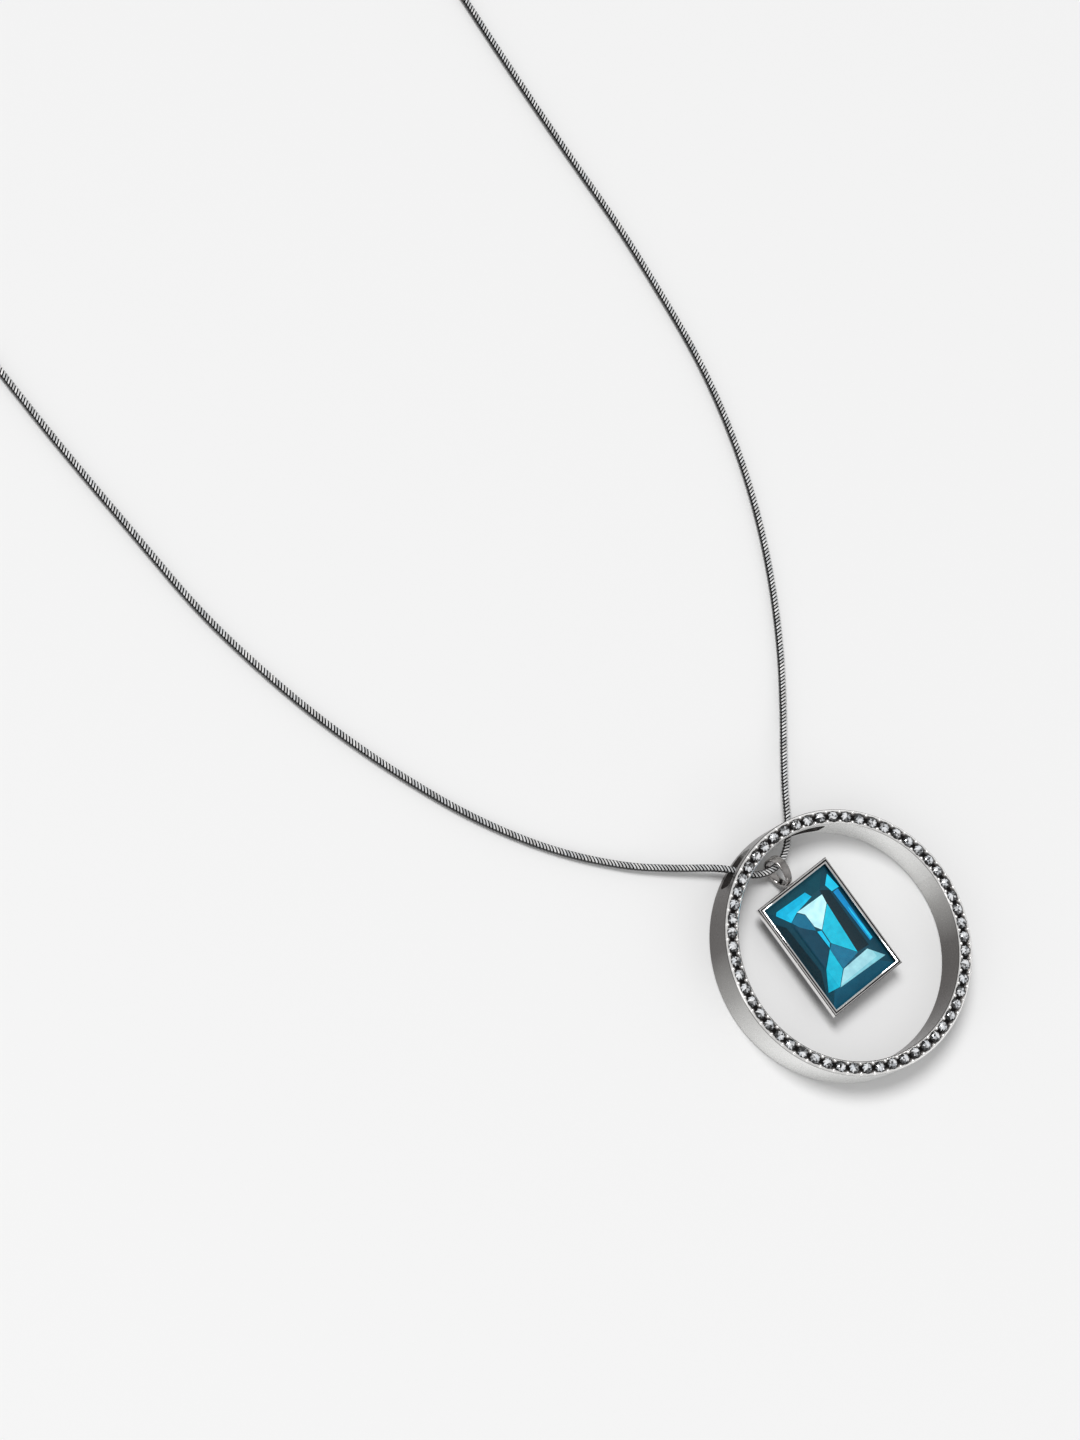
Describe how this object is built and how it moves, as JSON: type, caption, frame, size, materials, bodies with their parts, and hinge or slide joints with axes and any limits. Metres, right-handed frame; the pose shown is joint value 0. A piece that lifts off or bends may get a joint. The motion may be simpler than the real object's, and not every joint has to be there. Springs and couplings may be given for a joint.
{
  "type": "pendant necklace",
  "caption": "Snake-chain pendant necklace: an open metal ring set with small clear stones, and a rectangular blue crystal drop that hangs inside it; lobster clasp.",
  "frame": {"origin": "centre of the ring's back face, which lies on the surface that the necklace lies on", "axes": "+X to the right across the necklace, +Y from the crystal up to the neck, +Z out of the front of the pendant"},
  "size_m": [0.1002, 0.2251, 0.0062],
  "materials": {
    "ring_metal": "polished gunmetal plating",
    "stone_glass": "clear foil-backed rhinestone",
    "blue_glass": "faceted teal glass, foil backed",
    "setting_metal": "bright polished rim, dark walls",
    "cement": "cured clear jeweller's cement",
    "bail_metal": "polished gunmetal plating",
    "chain_metal": "polished gunmetal plating",
    "fitting_metal": "polished gunmetal plating",
    "spring_metal": "bare spring wire"
  },
  "bodies": {
    "chain": {"snake_chain": "chain_metal", "left_end_cap": "fitting_metal", "right_end_cap": "fitting_metal"},
    "ring": {"ring_band": "ring_metal", "ring_stones": "stone_glass"},
    "drop": {"bail": "bail_metal", "setting": "setting_metal", "blue_crystal": "blue_glass", "crystal_cement": "cement"},
    "jump_ring": {"jump_ring": "fitting_metal"},
    "clasp": {"clasp_body": "fitting_metal", "clasp_pin": "fitting_metal", "trigger_spring": "spring_metal"},
    "trigger": {"clasp_trigger": "fitting_metal"},
    "tag_ring": {"tag_ring": "fitting_metal"}
  },
  "joints": [
    {"name": "ring_swing", "type": "hinge", "parent": "chain", "child": "ring", "pos_m": [0, 0.0182, 0.0021], "axis": [1, 0, 0], "range_deg": [-12, 12]},
    {"name": "drop_swing", "type": "hinge", "parent": "chain", "child": "drop", "pos_m": [-0.001, 0.0152, 0.0023], "axis": [1, 0, 0], "range_deg": [-60, 100]},
    {"name": "jump_ring_swing", "type": "hinge", "parent": "chain", "child": "jump_ring", "pos_m": [-0.01428, 0.202, 0.0015], "axis": [0, 0, 1], "range_deg": [-40, 40]},
    {"name": "clasp_swing", "type": "hinge", "parent": "jump_ring", "child": "clasp", "pos_m": [-0.01151, 0.202, 0.0015], "axis": [0, 0, 1], "range_deg": [-40, 40]},
    {"name": "trigger_open", "type": "hinge", "parent": "clasp", "child": "trigger", "pos_m": [-0.00719, 0.2005, 0.0015], "axis": [0, 0, 1], "range_deg": [0, 25], "stiffness_Nm_per_rad": 0.0005, "springref_deg": -17.19},
    {"name": "tag_ring_swing", "type": "hinge", "parent": "chain", "child": "tag_ring", "pos_m": [0.00598, 0.202, 0.0015], "axis": [0, 0, 1], "range_deg": [-40, 40]}
  ]
}
